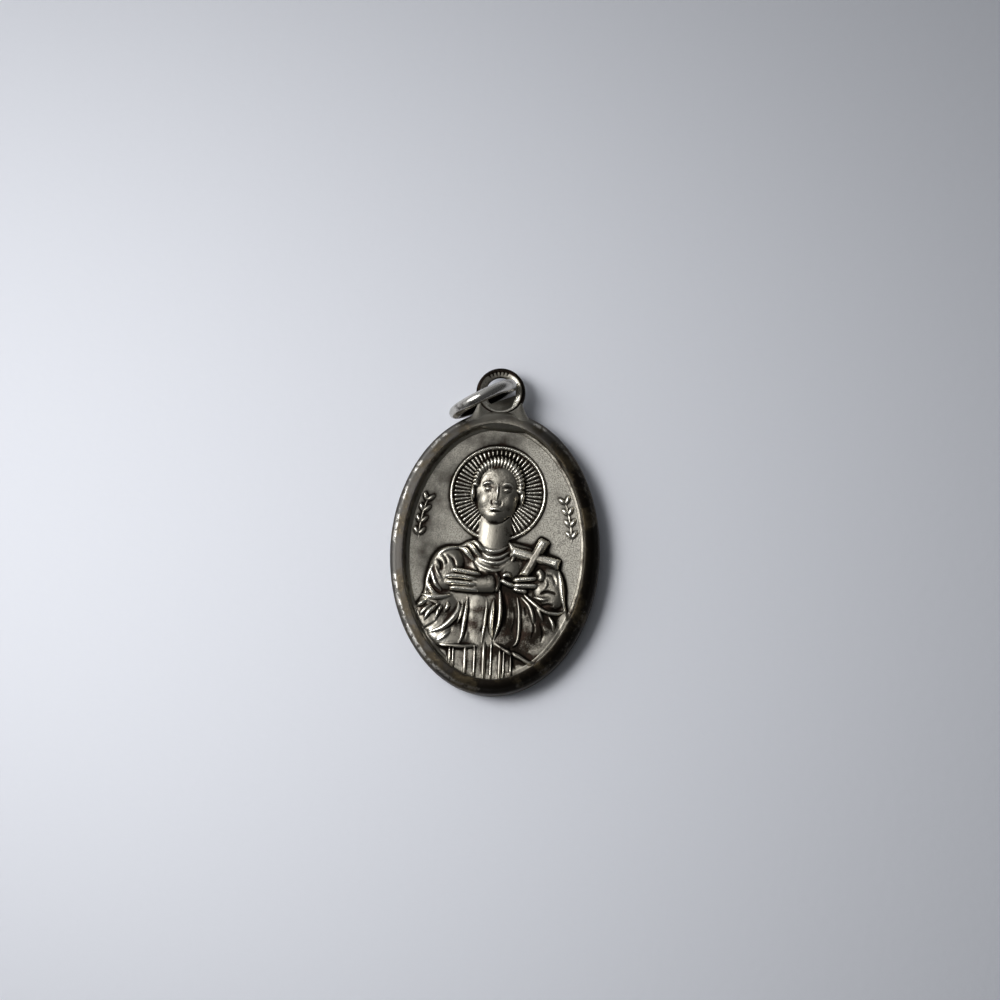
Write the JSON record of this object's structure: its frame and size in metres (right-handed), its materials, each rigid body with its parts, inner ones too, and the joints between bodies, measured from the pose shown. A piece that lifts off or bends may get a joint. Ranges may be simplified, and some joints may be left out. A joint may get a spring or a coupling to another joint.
{
  "type": "religious medal pendant",
  "caption": "Oval devotional medal with a raised rim and a haloed robed figure holding a cross, hung from an eye and a round wire jump ring",
  "frame": {"origin": "on the table, under the middle of the medal and its ring", "axes": "X across the medal, Y up it towards the eye, Z up out of its face"},
  "size_m": [0.0162, 0.0254, 0.0057],
  "materials": {
    "medal": "struck silver-plated alloy, dark in the hollows",
    "jump_ring": "round drawn wire, dulled silver plating"
  },
  "bodies": {
    "root": {"medal": "medal", "jump_ring": "jump_ring"}
  },
  "joints": []
}
